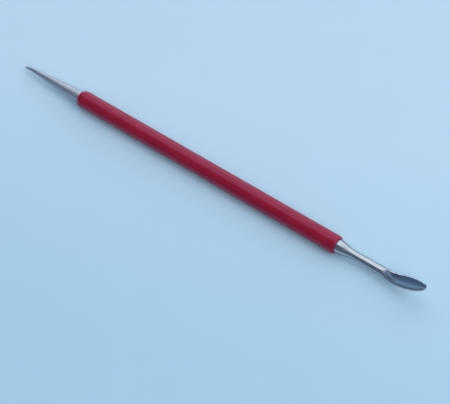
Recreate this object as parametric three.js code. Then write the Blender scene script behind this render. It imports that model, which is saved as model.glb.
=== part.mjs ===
// A slim craft tool with two working ends: a round handle, a steel point at one end and a small steel
// spoon at the other. Millimetres, +Z up. The tool lies on its handle along X with the spoon at +X,
// the origin is under the middle of its length, and the hollow of the spoon looks up.
import * as THREE from "three";

const { clamp, degToRad, lerp, smoothstep } = THREE.MathUtils;

// Handle
const HANDLE_LENGTH = 117;
const HANDLE_DIAMETER = 6.8; // across the flats
const HANDLE_SIDES = 24; // narrow flats, so the bar is round to the hand and still lies without rolling
const POINT_END_ROUND = 1.1; // how far the rounded shoulder at the point reaches in
const POINT_END_RUN = 2; // length of that shoulder along the handle
const SPOON_END_BREAK = 0.3; // broken edge of the square cut end at the spoon

// Tangs, the same at both ends, and the bores that take them
const TANG_DIAMETER = 3;
const TANG_LENGTH = 16;
const FLUTE_DEPTH = 0.25;
const TANG_RELIEF = 1.6; // plain length between the flutes and the collar
const TANG_LEAD = 0.5; // bevel at the inner end
const BORE_CLEARANCE = 0.3; // room for glue all round the tang
const BORE_OVERRUN = 1; // bore left empty past the tang
const BORE_MOUTH = 0.2; // bevel at the mouth of a bore
const DRILL_ANGLE = 118; // angle of the cone that a twist drill leaves
const SEAT_GAP = 0.05; // between a collar and the end of the handle
const COLLAR_BREAK = 0.12; // broken edge of a collar

// Point
const POINT_LENGTH = 29.1;
const POINT_DIAMETER = 4.6;
const POINT_SWELL = 0.2; // how far the sides bulge from a straight cone
const NOSE_DIAMETER = 0.8;
const POINT_DROOP = 1.5; // the fine end leans this far under the axis
const DROOP_LENGTH = 8;

// Spoon
const SPOON_LENGTH = 35.3; // from the handle to the tip
const COLLAR_DIAMETER = 5.1;
const COLLAR_TAPER = 6.8; // length of the bullet-shaped taper
const NECK_DIAMETER = 3.1;
const SHANK_DIAMETER = 3.4;
const BOWL_WIDTH = 5.1;
const BOWL_DEPTH = 1.4; // depth of the hollow under the edge of its rim
const BOWL_WALL = 0.45;
const RIM_WIDTH = 0.65; // from the edge of the hollow to the outside
const RIM_THICKNESS = 0.5; // round bead all along the rim
const RIM_CROWN = 0.45; // how far the rim would arch over the bead if the hollow weren't there
const BOWL_LENGTH = 17.2; // from the end of the round shank to the tip
const BOWL_FULLEST = 7; // distance of the widest place from the tip
const OPENING_RUN = 4; // length over which the shank flattens down to the height of the bowl
const HOLLOW_START = 1; // distance of the first of the hollow from the end of the round shank
const HOLLOW_RUN = 3.6; // length over which it reaches its full depth
const BEND_START = 3; // distance of the bend from the end of the round shank
const BEND_LENGTH = 4;
const BOWL_TILT = 30.5; // degrees by which the bowl rises from the axis
const TIP_WIDTH = 0.5;
const FIRST_SHARE = 0.2; // half width of the hollow where it starts, as a share of that of the shank
const LAND_SHARE = 0.4; // the most of the half width that the rim takes, near the tip

// Fineness of the curved faces
const STEEL_SIDES = 48;
const LAND_STEPS = 5; // faces from the side of the spoon to the edge of its hollow
const ROUND_STEPS = 8;
const POINT_RINGS = 22;
const TAPER_RINGS = 12;
const SHANK_RINGS = 6;
const BOWL_RINGS = 34;
const NOSE_RINGS = 4;
const NOSE_SWEEP = 80; // degrees of the nose's arc before its small flat end

const handleRadius = HANDLE_DIAMETER / 2;
const boreRadius = TANG_DIAMETER / 2 + BORE_CLEARANCE;
const boreDepth = TANG_LENGTH + BORE_OVERRUN;
const drillTip = boreRadius / Math.tan(degToRad(DRILL_ANGLE / 2));
const overall = POINT_LENGTH + HANDLE_LENGTH + SPOON_LENGTH;
const pointEnd = POINT_LENGTH - overall / 2; // where the handle starts, at the point
const spoonEnd = pointEnd + HANDLE_LENGTH; // where the handle ends, at the spoon

// Places from 0 to 1 at even steps, without the first
const steps = (count) => Array.from({ length: count }, (unused, i) => (i + 1) / count);

// Handle: one revolved profile, from the drilled tip of one bore over the outside to that of the other
function handleGeometry() {
  const round = Math.min(POINT_END_ROUND, handleRadius - POINT_DIAMETER / 2);
  const profile = [
    [0, pointEnd + boreDepth + drillTip],
    [boreRadius, pointEnd + boreDepth],
    [boreRadius, pointEnd + BORE_MOUTH],
    [boreRadius + BORE_MOUTH, pointEnd],
    [handleRadius - round, pointEnd],
    ...steps(ROUND_STEPS).map((t) => [
      handleRadius - round + round * Math.sin((t * Math.PI) / 2),
      pointEnd + POINT_END_RUN * (1 - Math.cos((t * Math.PI) / 2)),
    ]),
    [handleRadius, spoonEnd - SPOON_END_BREAK],
    [handleRadius - SPOON_END_BREAK, spoonEnd],
    [boreRadius + BORE_MOUTH, spoonEnd],
    [boreRadius, spoonEnd - BORE_MOUTH],
    [boreRadius, spoonEnd - boreDepth],
    [0, spoonEnd - boreDepth - drillTip],
  ];
  const toCorners = 1 / Math.cos(Math.PI / HANDLE_SIDES);
  const points = profile.map(([radius, along]) => new THREE.Vector2(radius * toCorners, along));
  const geometry = new THREE.LatheGeometry(points, HANDLE_SIDES, Math.PI / HANDLE_SIDES);
  return geometry.rotateZ(-Math.PI / 2);
}

// One closed body skinned over a row of rings, all with as many corners, listed towards +X
function skin(rings) {
  const sides = rings[0].length;
  const middle = (ring) =>
    ring.reduce((sum, corner) => sum.add(corner), new THREE.Vector3()).divideScalar(sides);
  const corners = [...rings.flat(), middle(rings[0]), middle(rings.at(-1))];
  const firstMiddle = rings.length * sides;
  const lastMiddle = firstMiddle + 1;
  const lastRing = (rings.length - 1) * sides;
  const faces = [];
  for (let k = 0; k < sides; k += 1) {
    const next = (k + 1) % sides;
    faces.push(firstMiddle, next, k);
    faces.push(lastMiddle, lastRing + k, lastRing + next);
    for (let ring = 0; ring < lastRing; ring += sides) {
      faces.push(ring + k, ring + next, ring + sides + k);
      faces.push(ring + next, ring + sides + next, ring + sides + k);
    }
  }
  const geometry = new THREE.BufferGeometry().setFromPoints(corners);
  geometry.setIndex(faces);
  geometry.computeVertexNormals();
  return geometry;
}

// A round ring across the axis; every other corner is set in by the depth of a flute
function roundRing(along, radius, centre = 0, flute = 0) {
  return Array.from({ length: STEEL_SIDES }, (unused, k) => {
    const angle = (k * 2 * Math.PI) / STEEL_SIDES;
    const reach = k % 2 ? radius - flute : radius;
    return new THREE.Vector3(along, reach * Math.cos(angle), centre + reach * Math.sin(angle));
  });
}

// Rings of a fluted tang that reaches back from the collar at 0 to -TANG_LENGTH
function tangRings() {
  const radius = TANG_DIAMETER / 2;
  const plainRadius = radius - FLUTE_DEPTH;
  return [
    roundRing(-TANG_LENGTH, plainRadius - TANG_LEAD / 2),
    roundRing(-TANG_LENGTH + TANG_LEAD, radius, 0, FLUTE_DEPTH),
    roundRing(-TANG_RELIEF - TANG_LEAD, radius, 0, FLUTE_DEPTH),
    roundRing(-TANG_RELIEF, plainRadius),
    roundRing(SEAT_GAP, plainRadius),
  ];
}

// Point: a long cone with slightly bulged sides and a small round nose, seated by its collar
function pointGeometry() {
  const baseRadius = POINT_DIAMETER / 2;
  const noseRadius = NOSE_DIAMETER / 2;
  const noseStart = POINT_LENGTH - noseRadius;
  const sweep = degToRad(NOSE_SWEEP);
  const droopAt = (along) => {
    const lean = clamp((along - (POINT_LENGTH - DROOP_LENGTH)) / DROOP_LENGTH, 0, 1);
    return -POINT_DROOP * lean * lean;
  };
  const coneRadius = (t) => lerp(baseRadius, noseRadius, t) + POINT_SWELL * 4 * t * (1 - t);
  const rings = [
    ...tangRings(),
    roundRing(SEAT_GAP, baseRadius - COLLAR_BREAK),
    roundRing(SEAT_GAP + COLLAR_BREAK, coneRadius(0)),
  ];
  for (const t of steps(POINT_RINGS)) {
    const along = lerp(SEAT_GAP + COLLAR_BREAK, noseStart, t);
    rings.push(roundRing(along, coneRadius(t), droopAt(along)));
  }
  for (const t of steps(NOSE_RINGS)) {
    const angle = t * sweep;
    const along = noseStart + (noseRadius * Math.sin(angle)) / Math.sin(sweep);
    rings.push(roundRing(along, noseRadius * Math.cos(angle), droopAt(along)));
  }
  return skin(rings);
}

// A ring of the spoon. Its top is crowned and takes a hollow of its own half width and depth, its sides
// end in a round bead, and its belly hangs below. A corner always lies on each edge of the hollow.
function spoonRing({ along, halfWidth, crown, belly, bead, centre, hollow, depth }) {
  const half = STEEL_SIDES / 2;
  const edgeTurn = Math.acos(hollow / halfWidth);
  const turnOf = (k) => {
    if (k > half) return (k * 2 * Math.PI) / STEEL_SIDES;
    if (k < LAND_STEPS) return (edgeTurn * k) / LAND_STEPS;
    if (k > half - LAND_STEPS) return Math.PI - (edgeTurn * (half - k)) / LAND_STEPS;
    return lerp(edgeTurn, Math.PI - edgeTurn, (k - LAND_STEPS) / (half - 2 * LAND_STEPS));
  };
  const beadHeight = (across) => {
    const inset = Math.max(Math.abs(across) - (halfWidth - bead), 0);
    return Math.sqrt(Math.max(bead * bead - inset * inset, 0));
  };
  const topHeight = (across) => {
    const arch = Math.sqrt(Math.max(1 - (across / halfWidth) ** 2, 0));
    return beadHeight(across) + (crown - bead) * arch;
  };
  return Array.from({ length: STEEL_SIDES }, (unused, k) => {
    const turn = turnOf(k);
    const across = halfWidth * Math.cos(turn);
    let height = topHeight(across);
    if (k > half) height = -beadHeight(across) + (belly - bead) * Math.sin(turn);
    else if (k > LAND_STEPS && k < half - LAND_STEPS) {
      height = topHeight(hollow) - depth * (1 - (across / hollow) ** 2);
    }
    return new THREE.Vector3(along, across, centre + height);
  });
}

// A round ring with its corners where the hollow needs them
function shankRing(along, radius) {
  return spoonRing({
    along,
    halfWidth: radius,
    crown: radius,
    belly: radius,
    bead: 0,
    centre: 0,
    hollow: radius * FIRST_SHARE,
    depth: 0,
  });
}

// The bullet-shaped taper from the collar to the neck
function taperRing(along) {
  const wave = 0.5 + 0.5 * Math.cos((Math.PI * along) / COLLAR_TAPER);
  return shankRing(along, lerp(NECK_DIAMETER, COLLAR_DIAMETER, wave) / 2);
}

// Bowl: the round shank flattens, opens into the hollow, spreads and bends up
function bowlRing(along) {
  const start = SPOON_LENGTH - BOWL_LENGTH;
  const widest = SPOON_LENGTH - BOWL_FULLEST;
  const shankRadius = SHANK_DIAMETER / 2;
  const bead = RIM_THICKNESS / 2;
  const opened = smoothstep(along, start, start + OPENING_RUN);
  const spread = smoothstep(along, start, widest);
  const closing = clamp((along - widest) / BOWL_FULLEST, 0, 1);
  const leaf = Math.sqrt(1 - closing * closing);
  const halfWidth = lerp(TIP_WIDTH / 2, lerp(shankRadius, BOWL_WIDTH / 2, spread), leaf);
  const into = clamp((along - start - HOLLOW_START) / HOLLOW_RUN, 0, 1);
  const sunk = 1 - (1 - into) ** 2;
  const land = Math.min(RIM_WIDTH, halfWidth * LAND_SHARE);
  const bent = along - start - BEND_START;
  const run = bent < BEND_LENGTH ? Math.max(bent, 0) ** 2 / (2 * BEND_LENGTH) : bent - BEND_LENGTH / 2;
  return spoonRing({
    along,
    halfWidth,
    crown: lerp(shankRadius, bead + RIM_CROWN * leaf, opened),
    belly: lerp(shankRadius, BOWL_WALL + (BOWL_DEPTH - bead - RIM_CROWN / 2) * leaf, opened),
    bead: bead * opened,
    centre: run * Math.tan(degToRad(BOWL_TILT)),
    hollow: lerp(halfWidth * FIRST_SHARE, halfWidth - land, Math.sqrt(sunk)),
    depth: BOWL_DEPTH * leaf * sunk,
  });
}

function spoonGeometry() {
  const bowlStart = SPOON_LENGTH - BOWL_LENGTH;
  const first = SEAT_GAP + COLLAR_BREAK;
  const closer = (t) => Math.sin((t * Math.PI) / 2); // rings lie closer towards the tip
  const shankRadius = (t) => lerp(NECK_DIAMETER, SHANK_DIAMETER, smoothstep(t, 0, 1)) / 2;
  return skin([
    ...tangRings(),
    shankRing(SEAT_GAP, COLLAR_DIAMETER / 2 - COLLAR_BREAK),
    taperRing(first),
    ...steps(TAPER_RINGS).map((t) => taperRing(lerp(first, COLLAR_TAPER, t))),
    ...steps(SHANK_RINGS).map((t) => shankRing(lerp(COLLAR_TAPER, bowlStart, t), shankRadius(t))),
    ...steps(BOWL_RINGS).map((t) => bowlRing(lerp(bowlStart, SPOON_LENGTH, closer(t)))),
  ]);
}

function piece(name, geometry, colour, roughness, metalness) {
  const material = new THREE.MeshStandardMaterial({ color: colour, roughness, metalness });
  const mesh = new THREE.Mesh(geometry, material);
  mesh.name = name;
  return mesh;
}

const handle = piece("handle", handleGeometry(), 0x97182f, 0.2, 0);
const point = piece("steel_point", pointGeometry(), 0x9c9c9e, 0.4, 1);
point.position.x = pointEnd;
point.rotation.z = Math.PI;
const spoon = piece("steel_spoon", spoonGeometry(), 0xc6cacf, 0.18, 1);
spoon.position.x = spoonEnd;

const axis = new THREE.Group();
axis.position.z = handleRadius;
axis.add(handle, point, spoon);

const tool = new THREE.Group();
tool.add(axis);

export default tool;
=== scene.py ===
import math

import bpy
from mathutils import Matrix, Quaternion, Vector


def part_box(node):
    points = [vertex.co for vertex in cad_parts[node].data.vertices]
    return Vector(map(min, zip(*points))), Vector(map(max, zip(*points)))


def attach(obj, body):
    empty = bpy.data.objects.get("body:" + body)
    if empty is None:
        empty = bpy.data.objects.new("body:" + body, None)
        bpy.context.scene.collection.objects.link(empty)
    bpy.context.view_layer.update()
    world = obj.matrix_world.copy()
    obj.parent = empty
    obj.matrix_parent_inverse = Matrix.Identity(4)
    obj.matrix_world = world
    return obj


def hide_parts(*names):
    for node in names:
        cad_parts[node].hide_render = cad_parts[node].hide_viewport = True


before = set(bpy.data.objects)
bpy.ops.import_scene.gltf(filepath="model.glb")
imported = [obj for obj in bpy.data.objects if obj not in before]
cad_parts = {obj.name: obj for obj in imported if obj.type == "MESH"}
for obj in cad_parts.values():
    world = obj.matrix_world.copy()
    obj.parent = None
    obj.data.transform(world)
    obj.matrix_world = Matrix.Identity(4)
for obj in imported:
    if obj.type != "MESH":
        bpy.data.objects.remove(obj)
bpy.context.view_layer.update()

MM = 0.001

# Handle
HANDLE_DIAMETER = 6.8 * MM
POINT_END_ROUND = 1.1 * MM
POINT_END_RUN = 2 * MM
SPOON_END_BREAK = 0.3 * MM
BORE_RADIUS = 1.8 * MM
BORE_DEPTH = 17 * MM
BORE_MOUTH = 0.2 * MM
DRILL_ANGLE = 118

# Tangs
TANG_RADIUS = 1.5 * MM
TANG_LENGTH = 16 * MM
FLUTE_DEPTH = 0.25 * MM
FLUTES = 24
TANG_RELIEF = 1.6 * MM
TANG_LEAD = 0.5 * MM
SEAT_GAP = 0.05 * MM
COLLAR_BREAK = 0.12 * MM

# Point
POINT_RADIUS = 2.3 * MM
POINT_SWELL = 0.2 * MM
NOSE_RADIUS = 0.4 * MM
POINT_DROOP = 1.5 * MM
DROOP_LENGTH = 8 * MM

# Spoon
COLLAR_RADIUS = 2.55 * MM
COLLAR_TAPER = 6.8 * MM
NECK_RADIUS = 1.55 * MM
SHANK_RADIUS = 1.7 * MM
BOWL_WIDTH = 5.1 * MM
BOWL_DEPTH = 1.4 * MM
# The underside follows the bowl's depth. The hollow is shallower than the solid's, as its shading asks.
HOLLOW_DEPTH = 0.7 * MM
BOWL_WALL = 0.45 * MM
RIM_THICKNESS = 0.5 * MM
RIM_WIDTH = 0.65 * MM
RIM_CROWN = 0.45 * MM
BOWL_LENGTH = 17.2 * MM
BOWL_FULLEST = 7 * MM
OPENING_RUN = 4 * MM
HOLLOW_START = 1 * MM
HOLLOW_RUN = 3.6 * MM
BEND_START = 3 * MM
BEND_LENGTH = 4 * MM
BOWL_TILT = 30.49
TIP_WIDTH = 0.5 * MM
# Of the blade's half width: the hollow's half width where it starts, and the widest land beside it.
FIRST_SHARE = 0.2
LAND_SHARE = 0.4

# Fineness of the meshes: sides round the axis, steps along it and round each edge, crease angles
HANDLE_SIDES = 128
HANDLE_STEPS = 40
END_ROUND_STEPS = 16
END_BREAK_STEPS = 6
POINT_SIDES = 96
POINT_STEPS = 60
NOSE_STEPS = 8
COLLAR_STEPS = 4
SPOON_SIDES = 128
TAPER_STEPS = 40
SHANK_STEPS = 30
BLADE_STEPS = 110
LAND_STEPS = 12
TURNED_CREASE = 35
SPOON_CREASE = 26
POLE_MERGE = 0.0005 * MM
# Corners this far out, in half widths of the hollow, still count as ground, so that its edge does.
GROUND_REACH = 1.001

# Floor: its half width, and where its painted falloff of light starts and ends along a line
# turned from the tool's axis
FLOOR_REACH = 3
LIGHT_FALLOFF_TURN = -106
LIGHT_FALLOFF_START = -70 * MM
LIGHT_FALLOFF_END = 30 * MM

# Camera, fitted to the photograph's edges
VIEW_DISTANCE = 434.74 * MM
VIEW_ELEVATION = 61.120
VIEW_AZIMUTH = -38.337
VIEW_ROLL = -17.550
VIEW_AIM = (9.130 * MM, -4.643 * MM, -3.481 * MM)
LENS = 96
SENSOR = 36
NEAREST_SEEN = 10 * MM

# Sockets of a Mix node, which share their names, by their place
SHARE = 0
NUMBER_A = 2
NUMBER_B = 3
COLOUR_A = 6
COLOUR_B = 7
MIXED_COLOUR = 2

handle_low, handle_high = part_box("handle")
point_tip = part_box("steel_point")[0].x
spoon_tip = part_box("steel_spoon")[1].x
point_end = handle_low.x
spoon_end = handle_high.x
axis_height = (handle_low.z + handle_high.z) / 2
handle_radius = HANDLE_DIAMETER / 2


def clamp(value, low=0, high=1):
    return max(low, min(high, value))


def lerp(start, end, share):
    return start + (end - start) * share


def smoothstep(value, start, end):
    share = clamp((value - start) / (end - start))
    return share * share * (3 - 2 * share)


def steps(start, end, count):
    """Evenly spaced values after the start, up to the end."""
    return [lerp(start, end, k / count) for k in range(1, count + 1)]


def quarter_turn(count, first=0):
    """The angles of a quarter turn in equal steps, beginning with the step called first."""
    return [math.radians(90 * k / count) for k in range(first, count + 1)]


def put(name, data):
    """An object of its own for that mesh, lamp or camera, at the origin of the scene."""
    thing = bpy.data.objects.new(name, data)
    bpy.context.scene.collection.objects.link(thing)
    return thing


def linear(colour):
    """Linear colour, with alpha, of an sRGB hex value."""
    channels = [int(colour[k : k + 2], 16) / 255 for k in (1, 3, 5)]
    return [c / 12.92 if c <= 0.04045 else ((c + 0.055) / 1.055) ** 2.4 for c in channels] + [1]


def add(tree, kind, settings=None, links=None):
    """A node with its settings. Its links name a socket, or its place, with a value or what feeds it."""
    node = tree.nodes.new(kind)
    for name, value in (settings or {}).items():
        setattr(node, name, value)
    for key, value in (links or {}).items():
        if isinstance(value, bpy.types.NodeSocket):
            tree.links.new(value, node.inputs[key])
        else:
            node.inputs[key].default_value = value
    return node


def cells(size):
    """The scale of a noise whose cells have that size in metres."""
    return 1 / size


def new_finish(name):
    """An empty material with a Principled shader, and its tree."""
    finish = bpy.data.materials.new(name)
    finish.use_nodes = True
    tree = finish.node_tree
    tree.nodes.clear()
    shader = add(tree, "ShaderNodeBsdfPrincipled")
    output = add(tree, "ShaderNodeOutputMaterial")
    tree.links.new(shader.outputs["BSDF"], output.inputs["Surface"])
    return finish, tree, shader


# Cast acrylic, buffed to a gloss and worn a little soft: the crimson sits under a clear hard surface, in
# which lamps show as broad bands with soft edges. Long faint flow streaks from casting, a slight
# orange-peel ripple and rubs from the hand break up the shine.
def make_crimson_acrylic():
    finish, tree, shader = new_finish("crimson_cast_acrylic")
    place = add(tree, "ShaderNodeTexCoord").outputs["Object"]
    along = add(tree, "ShaderNodeMapping", {}, {"Vector": place, "Scale": (0.06, 1, 1)}).outputs[0]
    # Cast swirls are about 0.3 mm wide; they are drawn 1.1 mm wide, which is as fine as the render shows.
    streaks = add(tree, "ShaderNodeTexNoise", {}, {"Vector": along, "Scale": cells(1.1 * MM), "Detail": 4})
    # Denser and thinner dye, in clouds of about 6 mm.
    clouds = add(tree, "ShaderNodeTexNoise", {}, {"Vector": place, "Scale": cells(6 * MM), "Detail": 3})
    blend = add(
        tree,
        "ShaderNodeMath",
        {"operation": "MULTIPLY"},
        {0: streaks.outputs[0], 1: clouds.outputs[0]},
    )
    depth = add(
        tree,
        "ShaderNodeMapRange",
        {},
        {"Value": blend.outputs[0], "From Min": 0.12, "From Max": 0.42},
    )
    colour = add(
        tree,
        "ShaderNodeMix",
        {"data_type": "RGBA"},
        {SHARE: depth.outputs[0], COLOUR_A: linear("#93142a"), COLOUR_B: linear("#a01a30")},
    )
    # Rubs from fingers and cloth run along the bar. Real ones are 0.02 mm wide, these 0.7 mm, to show.
    lengthwise = add(tree, "ShaderNodeMapping", {}, {"Vector": place, "Scale": (0.03, 1, 1)}).outputs[0]
    rubs = add(tree, "ShaderNodeTexNoise", {}, {"Vector": lengthwise, "Scale": cells(0.7 * MM), "Detail": 2})
    rough = add(
        tree,
        "ShaderNodeMapRange",
        {},
        {"Value": rubs.outputs[0], "From Min": 0.3, "From Max": 0.7, "To Min": 0.23, "To Max": 0.29},
    )
    # The skin of a cast and buffed bar swells very slightly, in waves of about 2.4 mm.
    peel = add(tree, "ShaderNodeTexNoise", {}, {"Vector": place, "Scale": cells(2.4 * MM), "Detail": 1})
    bump = add(
        tree,
        "ShaderNodeBump",
        {},
        {"Height": peel.outputs[0], "Strength": 0.2, "Distance": 0.02 * MM},
    )
    tree.links.new(colour.outputs[MIXED_COLOUR], shader.inputs["Base Color"])
    tree.links.new(rough.outputs[0], shader.inputs["Roughness"])
    tree.links.new(bump.outputs[0], shader.inputs["Normal"])
    shader.inputs["IOR"].default_value = 1.49
    # Over the deep red, the shine of the clear skin leans to violet.
    shader.inputs["Specular Tint"].default_value = linear("#dcc4ff")
    return finish


# Carbon steel turned on a lathe and ground to a satin: fine rings run round the cone and spread its shine.
def make_satin_steel():
    finish, tree, shader = new_finish("satin_turned_steel")
    place = add(tree, "ShaderNodeTexCoord").outputs["Object"]
    across = add(tree, "ShaderNodeMapping", {}, {"Vector": place, "Scale": (1, 0.02, 0.02)}).outputs[0]
    # Turning marks are 0.05 mm apart; here they are 0.3 mm apart, so that they show.
    rings = add(tree, "ShaderNodeTexNoise", {}, {"Vector": across, "Scale": cells(0.3 * MM), "Detail": 4})
    # Handling has dulled it in faint patches of about 3 mm.
    patches = add(tree, "ShaderNodeTexNoise", {}, {"Vector": place, "Scale": cells(2.8 * MM), "Detail": 4})
    tone = add(
        tree,
        "ShaderNodeMix",
        {"data_type": "RGBA"},
        {SHARE: patches.outputs[0], COLOUR_A: linear("#b6b9c0"), COLOUR_B: linear("#c6c9ce")},
    )
    rough = add(
        tree,
        "ShaderNodeMapRange",
        {},
        {"Value": rings.outputs[0], "From Min": 0.3, "From Max": 0.7, "To Min": 0.42, "To Max": 0.56},
    )
    bump = add(
        tree,
        "ShaderNodeBump",
        {},
        {"Height": rings.outputs[0], "Strength": 0.3, "Distance": 0.02 * MM},
    )
    shader.inputs["Metallic"].default_value = 1
    # Ground steel throws back less light at its turning edges than a mirror does.
    shader.inputs["Specular Tint"].default_value = linear("#a4acb4")
    tree.links.new(tone.outputs[MIXED_COLOUR], shader.inputs["Base Color"])
    tree.links.new(rough.outputs[0], shader.inputs["Roughness"])
    tree.links.new(bump.outputs[0], shader.inputs["Normal"])
    return finish


# Stainless steel, forged and buffed bright: clear reflections, a little soft, with faint buffing lines
# along the shank. The hollow, cut by grinding, is dull; its blue-grey tone is painted shade and a painted
# blue reflection, and the painted shade is darkest at its narrow root.
def make_polished_steel():
    finish, tree, shader = new_finish("polished_stainless_steel")
    place = add(tree, "ShaderNodeTexCoord").outputs["Object"]
    along = add(tree, "ShaderNodeMapping", {}, {"Vector": place, "Scale": (0.05, 1, 1)}).outputs[0]
    # Buffing lines are 0.03 mm wide; here they are 0.3 mm wide, so that they show.
    lines = add(tree, "ShaderNodeTexNoise", {}, {"Vector": along, "Scale": cells(0.3 * MM), "Detail": 4})
    # Finger marks of about 3 mm.
    smudges = add(tree, "ShaderNodeTexNoise", {}, {"Vector": place, "Scale": cells(3.3 * MM), "Detail": 3})
    tone = add(
        tree,
        "ShaderNodeMix",
        {"data_type": "RGBA"},
        {SHARE: smudges.outputs[0], COLOUR_A: linear("#b1b5b9"), COLOUR_B: linear("#bec1c4")},
    )
    polished = add(
        tree,
        "ShaderNodeMapRange",
        {},
        {"Value": lines.outputs[0], "From Min": 0.3, "From Max": 0.75, "To Min": 0.16, "To Max": 0.26},
    )
    hollow = add(tree, "ShaderNodeAttribute", {"attribute_name": "ground_shaded_hollow"}).outputs["Fac"]
    root = add(tree, "ShaderNodeAttribute", {"attribute_name": "root"}).outputs["Fac"]
    # Painted shade and a painted blue reflection in the hollow, painted darker still towards its root
    cut = add(
        tree,
        "ShaderNodeMix",
        {"data_type": "RGBA"},
        {SHARE: root, COLOUR_A: linear("#7c94a8"), COLOUR_B: linear("#64768a")},
    )
    colour = add(
        tree,
        "ShaderNodeMix",
        {"data_type": "RGBA"},
        {SHARE: hollow, COLOUR_A: tone.outputs[MIXED_COLOUR], COLOUR_B: cut.outputs[MIXED_COLOUR]},
    )
    dull_shaded_root = add(tree, "ShaderNodeMapRange", {}, {"Value": root, "To Min": 0.55, "To Max": 0.58})
    rough = add(
        tree,
        "ShaderNodeMix",
        {"data_type": "FLOAT"},
        {SHARE: hollow, NUMBER_A: polished.outputs[0], NUMBER_B: dull_shaded_root.outputs[0]},
    )
    bump = add(
        tree,
        "ShaderNodeBump",
        {},
        {"Height": lines.outputs[0], "Strength": 0.15, "Distance": 0.01 * MM},
    )
    shader.inputs["Metallic"].default_value = 1
    # Its outline is darker than a mirror's, because buffing rounds off the finest edges.
    shader.inputs["Specular Tint"].default_value = linear("#8f99a4")
    tree.links.new(colour.outputs[MIXED_COLOUR], shader.inputs["Base Color"])
    tree.links.new(rough.outputs[0], shader.inputs["Roughness"])
    tree.links.new(bump.outputs[0], shader.inputs["Normal"])
    return finish


# Pale blue coated card, flat and matt: it is painted a little lighter towards one side, as a painted
# falloff of light, and a faint mottle of the paper shows in it.
def make_pale_card():
    finish, tree, shader = new_finish("pale_blue_card")
    place = add(tree, "ShaderNodeTexCoord").outputs["Object"]
    # Painted light: the card is painted lighter along one line across the floor, in place of the lamps'
    # falloff
    turned = add(
        tree, "ShaderNodeMapping", {}, {"Vector": place, "Rotation": (0, 0, math.radians(LIGHT_FALLOFF_TURN))}
    ).outputs[0]
    across = add(tree, "ShaderNodeSeparateXYZ", {}, {0: turned}).outputs["X"]
    painted_falloff = add(
        tree,
        "ShaderNodeMapRange",
        {},
        {"Value": across, "From Min": LIGHT_FALLOFF_START, "From Max": LIGHT_FALLOFF_END},
    ).outputs[0]
    painted_falloff_colour = add(
        tree,
        "ShaderNodeMix",
        {"data_type": "RGBA"},
        {SHARE: painted_falloff, COLOUR_A: linear("#b7dbec"), COLOUR_B: linear("#c9e4f3")},
    ).outputs[MIXED_COLOUR]
    # Clouds in the paper's coating, about 16 mm across.
    mottle = add(tree, "ShaderNodeTexNoise", {}, {"Vector": place, "Scale": cells(16 * MM), "Detail": 5})
    tone = add(
        tree,
        "ShaderNodeMapRange",
        {},
        {"Value": mottle.outputs[0], "To Min": 0.985, "To Max": 1.015},
    ).outputs[0]
    colour = add(tree, "ShaderNodeVectorMath", {"operation": "SCALE"}, {0: painted_falloff_colour, "Scale": tone}).outputs[0]
    tree.links.new(colour, shader.inputs["Base Color"])
    shader.inputs["Roughness"].default_value = 0.9
    shader.inputs["Specular IOR Level"].default_value = 0.1
    return finish


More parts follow.
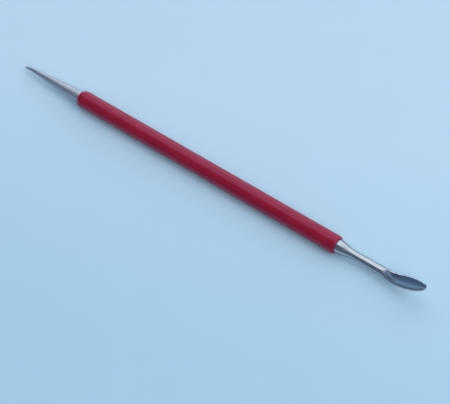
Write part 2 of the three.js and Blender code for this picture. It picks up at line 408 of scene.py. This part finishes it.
def build_turning_tree():
    """Turns a drawn profile about the tool's axis. The profile is a row of points with their place along
    the axis as x and their radius as z, and a flute depth. The fine end may lean off the axis."""
    tree = bpy.data.node_groups.new("turned_piece", "GeometryNodeTree")
    face = tree.interface
    face.new_socket("Profile", in_out="INPUT", socket_type="NodeSocketGeometry")
    for name, kind in (
        ("Sides", "NodeSocketInt"),
        ("Flutes", "NodeSocketInt"),
        ("Axis height", "NodeSocketFloat"),
        ("Lean", "NodeSocketFloat"),
        ("Lean start", "NodeSocketFloat"),
        ("Lean end", "NodeSocketFloat"),
        ("Finish", "NodeSocketMaterial"),
    ):
        face.new_socket(name, in_out="INPUT", socket_type=kind)
    face.new_socket("Piece", in_out="OUTPUT", socket_type="NodeSocketGeometry")
    given = add(tree, "NodeGroupInput").outputs
    math_node = "ShaderNodeMath"

    count = add(tree, "GeometryNodeAttributeDomainSize", {}, {0: given["Profile"]}).outputs[0]
    round_count = add(tree, math_node, {"operation": "ADD"}, {0: given["Sides"], 1: 1}).outputs[0]
    grid = add(
        tree, "GeometryNodeMeshGrid", {}, {"Vertices X": count, "Vertices Y": round_count}
    ).outputs[0]
    index = add(tree, "GeometryNodeInputIndex").outputs[0]
    turn = add(tree, math_node, {"operation": "DIVIDE"}, {0: index, 1: round_count}).outputs[0]
    ring = add(tree, math_node, {"operation": "FLOOR"}, {0: turn}).outputs[0]
    side = add(
        tree,
        math_node,
        {"operation": "SUBTRACT"},
        {0: index, 1: add(tree, math_node, {"operation": "MULTIPLY"}, {0: ring, 1: round_count}).outputs[0]},
    ).outputs[0]
    share = add(tree, math_node, {"operation": "DIVIDE"}, {0: side, 1: given["Sides"]}).outputs[0]
    angle = add(tree, math_node, {"operation": "MULTIPLY"}, {0: share, 1: math.tau}).outputs[0]

    place = add(tree, "GeometryNodeInputPosition").outputs[0]
    drawn = add(
        tree,
        "GeometryNodeSampleIndex",
        {"data_type": "FLOAT_VECTOR"},
        {"Geometry": given["Profile"], "Value": place, "Index": ring},
    ).outputs[0]
    depth = add(tree, "GeometryNodeInputNamedAttribute", {"data_type": "FLOAT"}, {"Name": "flute"}).outputs[0]
    flute = add(
        tree,
        "GeometryNodeSampleIndex",
        {"data_type": "FLOAT"},
        {"Geometry": given["Profile"], "Value": depth, "Index": ring},
    ).outputs[0]
    drawn_parts = add(tree, "ShaderNodeSeparateXYZ", {}, {0: drawn}).outputs

    flute_turn = add(tree, math_node, {"operation": "MULTIPLY"}, {0: angle, 1: given["Flutes"]}).outputs[0]
    wave = add(tree, math_node, {"operation": "COSINE"}, {0: flute_turn}).outputs[0]
    cut = add(tree, math_node, {"operation": "MULTIPLY_ADD"}, {0: wave, 1: -0.5, 2: 0.5}).outputs[0]
    lost = add(tree, math_node, {"operation": "MULTIPLY"}, {0: cut, 1: flute}).outputs[0]
    radius = add(tree, math_node, {"operation": "SUBTRACT"}, {0: drawn_parts["Z"], 1: lost}).outputs[0]

    lean_share = add(
        tree,
        "ShaderNodeMapRange",
        {},
        {"Value": drawn_parts["X"], "From Min": given["Lean start"], "From Max": given["Lean end"]},
    ).outputs[0]
    bent = add(tree, math_node, {"operation": "POWER"}, {0: lean_share, 1: 2}).outputs[0]
    sunk = add(tree, math_node, {"operation": "MULTIPLY"}, {0: bent, 1: given["Lean"]}).outputs[0]
    centre = add(tree, math_node, {"operation": "SUBTRACT"}, {0: given["Axis height"], 1: sunk}).outputs[0]

    sine = add(tree, math_node, {"operation": "SINE"}, {0: angle}).outputs[0]
    cosine = add(tree, math_node, {"operation": "COSINE"}, {0: angle}).outputs[0]
    sideways = add(tree, math_node, {"operation": "MULTIPLY"}, {0: radius, 1: sine}).outputs[0]
    upright = add(
        tree, math_node, {"operation": "MULTIPLY_ADD"}, {0: radius, 1: cosine, 2: centre}
    ).outputs[0]
    spot = add(
        tree, "ShaderNodeCombineXYZ", {}, {0: drawn_parts["X"], 1: sideways, 2: upright}
    ).outputs[0]
    turned = add(tree, "GeometryNodeSetPosition", {}, {"Geometry": grid, "Position": spot}).outputs[0]
    closed = add(
        tree, "GeometryNodeMergeByDistance", {}, {"Geometry": turned, "Distance": POLE_MERGE}
    ).outputs[0]
    smooth = add(tree, "GeometryNodeSetShadeSmooth", {"domain": "FACE"}, {"Geometry": closed}).outputs[0]
    bend = add(tree, "GeometryNodeInputMeshEdgeAngle").outputs[0]
    corner = add(
        tree, "FunctionNodeCompare", {"operation": "GREATER_THAN"}, {0: bend, 1: math.radians(TURNED_CREASE)}
    ).outputs[0]
    sharp = add(
        tree,
        "GeometryNodeSetShadeSmooth",
        {"domain": "EDGE"},
        {"Geometry": smooth, "Selection": corner, "Shade Smooth": False},
    ).outputs[0]
    real = add(tree, "GeometryNodeRealizeInstances", {}, {0: sharp}).outputs[0]
    done = add(
        tree, "GeometryNodeSetMaterial", {}, {"Geometry": real, "Material": given["Finish"]}
    ).outputs[0]
    add(tree, "NodeGroupOutput", {}, {0: done})
    return tree


def turned_piece(name, profile, finish, sides, lean=0, lean_start=0, lean_end=1):
    """A plain mesh turned from a profile of (place along the axis, radius, flute depth) in metres."""
    drawing = bpy.data.meshes.new(name + "_profile")
    drawing.from_pydata([(x, 0, radius) for x, radius, flute in profile], [], [])
    depths = drawing.attributes.new("flute", "FLOAT", "POINT")
    depths.data.foreach_set("value", [flute for x, radius, flute in profile])
    blank = put(name + "_blank", drawing)
    turning = blank.modifiers.new("turning", "NODES")
    turning.node_group = turning_tree
    sizes = {
        "Sides": sides,
        "Flutes": FLUTES,
        "Axis height": axis_height,
        "Lean": lean,
        "Lean start": lean_start,
        "Lean end": lean_end,
        "Finish": finish,
    }
    for socket in turning_tree.interface.items_tree:
        if socket.name in sizes:
            turning[socket.identifier] = sizes[socket.name]
    graph = bpy.context.evaluated_depsgraph_get()
    mesh = bpy.data.meshes.new_from_object(blank.evaluated_get(graph))
    bpy.data.objects.remove(blank)
    return put(name, mesh)


def tang_profile(face, inward):
    """Profile points of a fluted tang, from its middle to the collar. Inward is +1 where it points to +X."""
    plain = TANG_RADIUS - FLUTE_DEPTH
    depths = [
        (TANG_LENGTH, 0, 0),
        (TANG_LENGTH, plain - TANG_LEAD / 2, 0),
        (TANG_LENGTH - TANG_LEAD, TANG_RADIUS, FLUTE_DEPTH),
        (TANG_RELIEF + TANG_LEAD, TANG_RADIUS, FLUTE_DEPTH),
        (TANG_RELIEF, plain, 0),
        (-SEAT_GAP, plain, 0),
    ]
    return [(face + inward * depth, radius, flute) for depth, radius, flute in depths]


def make_handle(finish):
    drill_tip = BORE_RADIUS / math.tan(math.radians(DRILL_ANGLE / 2))
    profile = [
        (point_end + BORE_DEPTH + drill_tip, 0),
        (point_end + BORE_DEPTH, BORE_RADIUS),
        (point_end + BORE_MOUTH, BORE_RADIUS),
        (point_end, BORE_RADIUS + BORE_MOUTH),
    ]
    for angle in quarter_turn(END_ROUND_STEPS):
        profile.append(
            (
                point_end + POINT_END_RUN * (1 - math.cos(angle)),
                handle_radius - POINT_END_ROUND * (1 - math.sin(angle)),
            )
        )
    first = profile[-1][0]
    last = spoon_end - SPOON_END_BREAK
    profile += [(x, handle_radius) for x in steps(first, last, HANDLE_STEPS)]
    for angle in quarter_turn(END_BREAK_STEPS, 1):
        profile.append(
            (
                last + SPOON_END_BREAK * math.sin(angle),
                handle_radius - SPOON_END_BREAK * (1 - math.cos(angle)),
            )
        )
    profile += [
        (spoon_end, BORE_RADIUS + BORE_MOUTH),
        (spoon_end - BORE_MOUTH, BORE_RADIUS),
        (spoon_end - BORE_DEPTH, BORE_RADIUS),
        (spoon_end - BORE_DEPTH - drill_tip, 0),
    ]
    return turned_piece("moulded_handle", [(x, r, 0) for x, r in profile], finish, HANDLE_SIDES)


def make_point(finish):
    length = point_end - point_tip
    nose_start = length - NOSE_RADIUS
    face = point_end
    profile = tang_profile(face, 1)
    first = SEAT_GAP + COLLAR_BREAK
    for angle in quarter_turn(COLLAR_STEPS):
        profile.append(
            (
                face - first + COLLAR_BREAK * math.cos(angle),
                POINT_RADIUS - COLLAR_BREAK * (1 - math.sin(angle)),
                0,
            )
        )
    for share in steps(0, 1, POINT_STEPS):
        radius = lerp(POINT_RADIUS, NOSE_RADIUS, share) + POINT_SWELL * 4 * share * (1 - share)
        profile.append((face - lerp(first, nose_start, share), radius, 0))
    for angle in quarter_turn(NOSE_STEPS, 1):
        profile.append(
            (face - nose_start - NOSE_RADIUS * math.sin(angle), NOSE_RADIUS * math.cos(angle), 0)
        )
    return turned_piece(
        "satin_point",
        profile,
        finish,
        POINT_SIDES,
        lean=POINT_DROOP,
        lean_start=face - length + DROOP_LENGTH,
        lean_end=face - length,
    )


def spoon_ring(along, length):
    """The spoon's cross-section at that distance from the handle, of that length in all."""
    blade_start = length - BOWL_LENGTH
    if along <= blade_start:
        if along <= COLLAR_TAPER:
            wave = 0.5 + 0.5 * math.cos(math.pi * along / COLLAR_TAPER)
            radius = lerp(NECK_RADIUS, COLLAR_RADIUS, wave)
        else:
            radius = lerp(NECK_RADIUS, SHANK_RADIUS, smoothstep(along, COLLAR_TAPER, blade_start))
        return round_section(along, radius)
    widest = length - BOWL_FULLEST
    opened = smoothstep(along, blade_start, blade_start + OPENING_RUN)
    spread = smoothstep(along, blade_start, widest)
    closing = clamp((along - widest) / BOWL_FULLEST)
    leaf = math.sqrt(1 - closing * closing)
    half_width = lerp(TIP_WIDTH / 2, lerp(SHANK_RADIUS, BOWL_WIDTH / 2, spread), leaf)
    bent = along - blade_start - BEND_START
    run = max(bent, 0) ** 2 / (2 * BEND_LENGTH) if bent < BEND_LENGTH else bent - BEND_LENGTH / 2
    into = clamp((along - blade_start - HOLLOW_START) / HOLLOW_RUN)
    grown = 1 - (1 - into) ** 2
    land = min(RIM_WIDTH, half_width * LAND_SHARE)
    hollow = lerp(half_width * FIRST_SHARE, half_width - land, math.sqrt(grown))
    bowl_below = BOWL_WALL + (BOWL_DEPTH - RIM_THICKNESS / 2 - RIM_CROWN / 2) * leaf
    return section(
        along,
        half_width,
        crown=lerp(SHANK_RADIUS, RIM_THICKNESS / 2 + RIM_CROWN * leaf, opened),
        belly=lerp(SHANK_RADIUS, bowl_below, opened),
        bead=RIM_THICKNESS / 2 * opened,
        centre=run * math.tan(math.radians(BOWL_TILT)),
        hollow=hollow,
        depth=HOLLOW_DEPTH * leaf * grown,
        # Near the root the hollow is painted darker, as shade, and made a little rougher
        dull_shaded_root=1 - smoothstep(along, blade_start + BEND_START, blade_start + BEND_START + BEND_LENGTH),
    )


def round_section(along, radius):
    """A round cross-section, with its corners set as they are where the hollow starts."""
    return section(
        along,
        radius,
        crown=radius,
        belly=radius,
        bead=0,
        centre=0,
        hollow=radius * FIRST_SHARE,
        depth=0,
    )


def section(along, half_width, crown, belly, bead, centre, hollow, depth, dull_shaded_root=0):
    """A closed cross-section: a crowned top with a hollow of its own half width and depth in it, round
    rims at the two sides, and a belly. Returns its corners, and two lists with a value for each corner:
    whether it lies in the hollow cut by grinding, which is painted in shade, and how near it is to the
    root of the hollow, which is painted darker still as shade and is a little duller."""
    corners = []
    ground_shaded_hollow = []
    root = []
    quarter = SPOON_SIDES // 4
    edge_turn = math.acos(hollow / half_width)
    for k in range(SPOON_SIDES):
        if k <= LAND_STEPS:
            angle = edge_turn * k / LAND_STEPS
        elif k <= 2 * quarter - LAND_STEPS:
            angle = lerp(edge_turn, math.pi - edge_turn, (k - LAND_STEPS) / (2 * (quarter - LAND_STEPS)))
        elif k <= 2 * quarter:
            angle = math.pi - edge_turn * (2 * quarter - k) / LAND_STEPS
        else:
            angle = math.tau * k / SPOON_SIDES
        across = math.cos(angle) * half_width
        if k > 2 * quarter:
            below = (belly - bead) * math.sqrt(1 - math.cos(angle) ** 2)
            height = -rim_edge(across, half_width, bead) - below
        elif abs(across) < hollow:
            height = crowned(hollow, half_width, crown, bead) - depth * (1 - (across / hollow) ** 2)
        else:
            height = crowned(across, half_width, crown, bead)
        corners.append((spoon_end + along, across, axis_height + centre + height))
        in_hollow = depth > 0 and k < 2 * quarter and abs(across) <= hollow * GROUND_REACH
        ground_shaded_hollow.append(1 if in_hollow else 0)
        root.append(dull_shaded_root)
    return corners, ground_shaded_hollow, root


def rim_edge(across, half_width, bead):
    """Height of the round rim, of that radius, at a place across the blade."""
    inset = max(abs(across) - (half_width - bead), 0)
    return math.sqrt(max(bead * bead - inset * inset, 0))


def crowned(across, half_width, crown, bead):
    """Height of the arched top at a place across the blade."""
    arch = math.sqrt(max(1 - (across / half_width) ** 2, 0))
    return rim_edge(across, half_width, bead) + (crown - bead) * arch


def make_spoon(finish):
    length = spoon_tip - spoon_end
    blade_start = length - BOWL_LENGTH
    first = SEAT_GAP + COLLAR_BREAK
    rings = []
    for along, radius, flute in tang_profile(0, -1)[1:]:
        corners = []
        for k in range(SPOON_SIDES):
            angle = math.tau * k / SPOON_SIDES
            cut = radius - flute * (0.5 - 0.5 * math.cos(FLUTES * angle))
            corners.append(
                (spoon_end + along, cut * math.cos(angle), axis_height + cut * math.sin(angle))
            )
        rings.append((corners, [0] * SPOON_SIDES, [0] * SPOON_SIDES))
    for angle in quarter_turn(COLLAR_STEPS):
        along = first - COLLAR_BREAK * math.cos(angle)
        radius = COLLAR_RADIUS - COLLAR_BREAK * (1 - math.sin(angle))
        rings.append(round_section(along, radius))
    rings += [spoon_ring(along, length) for along in steps(first, COLLAR_TAPER, TAPER_STEPS)]
    rings += [spoon_ring(along, length) for along in steps(COLLAR_TAPER, blade_start, SHANK_STEPS)]
    # Rings lie closer together towards the tip, where the outline turns fastest.
    rings += [
        spoon_ring(lerp(blade_start, length, math.sin(angle)), length)
        for angle in quarter_turn(BLADE_STEPS, 1)
    ]
    corners = [corner for ring in rings for corner in ring[0]]
    faces = []
    for start in range(0, len(corners) - SPOON_SIDES, SPOON_SIDES):
        for k in range(SPOON_SIDES):
            after = (k + 1) % SPOON_SIDES
            faces.append((start + k, start + after, start + SPOON_SIDES + after, start + SPOON_SIDES + k))
    faces.append(tuple(range(SPOON_SIDES - 1, -1, -1)))
    faces.append(tuple(range(len(corners) - SPOON_SIDES, len(corners))))
    mesh = bpy.data.meshes.new("polished_spoon")
    mesh.from_pydata(corners, [], faces)
    mesh.polygons.foreach_set("use_smooth", [True] * len(mesh.polygons))
    mesh.set_sharp_from_angle(angle=math.radians(SPOON_CREASE))
    mesh.materials.append(finish)
    for name, place in (("ground_shaded_hollow", 1), ("root", 2)):
        marks = mesh.attributes.new(name, "FLOAT", "POINT")
        marks.data.foreach_set("value", [share for ring in rings for share in ring[place]])
    return put("polished_spoon", mesh)


turning_tree = build_turning_tree()
handle = make_handle(make_crimson_acrylic())
point = make_point(make_satin_steel())
spoon = make_spoon(make_polished_steel())
for piece, node in ((handle, "handle"), (point, "steel_point"), (spoon, "steel_spoon")):
    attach(piece, "root")
    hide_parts(node)

# Floor
floor_mesh = bpy.data.meshes.new("floor")
floor_corners = [(x * FLOOR_REACH, y * FLOOR_REACH, 0) for x, y in ((-1, -1), (1, -1), (1, 1), (-1, 1))]
floor_mesh.from_pydata(floor_corners, [], [(0, 1, 2, 3)])
floor_mesh.materials.append(make_pale_card())
floor = put("floor", floor_mesh)


def aim_at(thing, spot, roll=0):
    """Turns a lamp or camera so that it looks at a spot, rolled about its own line of sight."""
    away = Vector(spot) - thing.location
    level = away.to_track_quat("-Z", "Y")
    thing.rotation_euler = (level @ Quaternion((0, 0, 1), math.radians(roll))).to_euler()


def softbox(name, spot, aim, width, depth, power, colour):
    """A large rectangular lamp that stands at a spot and faces another."""
    lamp = bpy.data.lights.new(name, "AREA")
    lamp.shape = "RECTANGLE"
    lamp.size = width
    lamp.size_y = depth
    lamp.energy = power
    lamp.color = linear(colour)[:3]
    stand = put(name, lamp)
    stand.location = spot
    aim_at(stand, aim)


# The broad band of light along the handle, the collar, the shank and the cone, and the soft shadow
softbox("overhead_softbox", (-0.55, 1.46, 1.182), (-0.55, 1.16, 0), 1.7, 2.84, 18.5, "#f3f8ff")
# The thin light along the far rim of the bowl and the upper edges of the steel
softbox("back_window", (-0.85, 1.95, 0.32), (-0.4, 0, 0.2), 2.2, 0.56, 4.6, "#f3f8ff")
# The blue gleam in the near half of the hollow
softbox("low_window", (-1.47, 1.32, 0.31), (0, 0, 0), 0.96, 0.62, 3.1, "#dbe9fd")
# An even level over the floor and the side that faces the camera
softbox("side_softbox", (1.5, -0.15, 1.5), (0, 0, 0), 2.0, 1.4, 28, "#fbfdff")
# A little warmth from the far side
softbox("back_softbox", (0.95, 1.15, 1.1), (0, 0, 0), 1.2, 1.2, 3, "#fffaf2")

# A dim bluish room round the lamps
world = bpy.data.worlds.new("studio")
world.use_nodes = True
bpy.context.scene.world = world
sky = world.node_tree.nodes["Background"]
sky.inputs["Color"].default_value = linear("#aec6ec")
sky.inputs["Strength"].default_value = 0.32

# Camera
camera_data = bpy.data.cameras.new("camera")
camera_data.lens = LENS
camera_data.sensor_width = SENSOR
camera_data.clip_start = NEAREST_SEEN
camera = put("camera", camera_data)
turn = math.radians(VIEW_AZIMUTH)
rise = math.radians(VIEW_ELEVATION)
camera.location = Vector(VIEW_AIM) + VIEW_DISTANCE * Vector(
    (math.cos(rise) * math.cos(turn), math.cos(rise) * math.sin(turn), math.sin(rise))
)
aim_at(camera, VIEW_AIM, VIEW_ROLL)
bpy.context.scene.camera = camera
bpy.context.scene.view_settings.view_transform = "Standard"
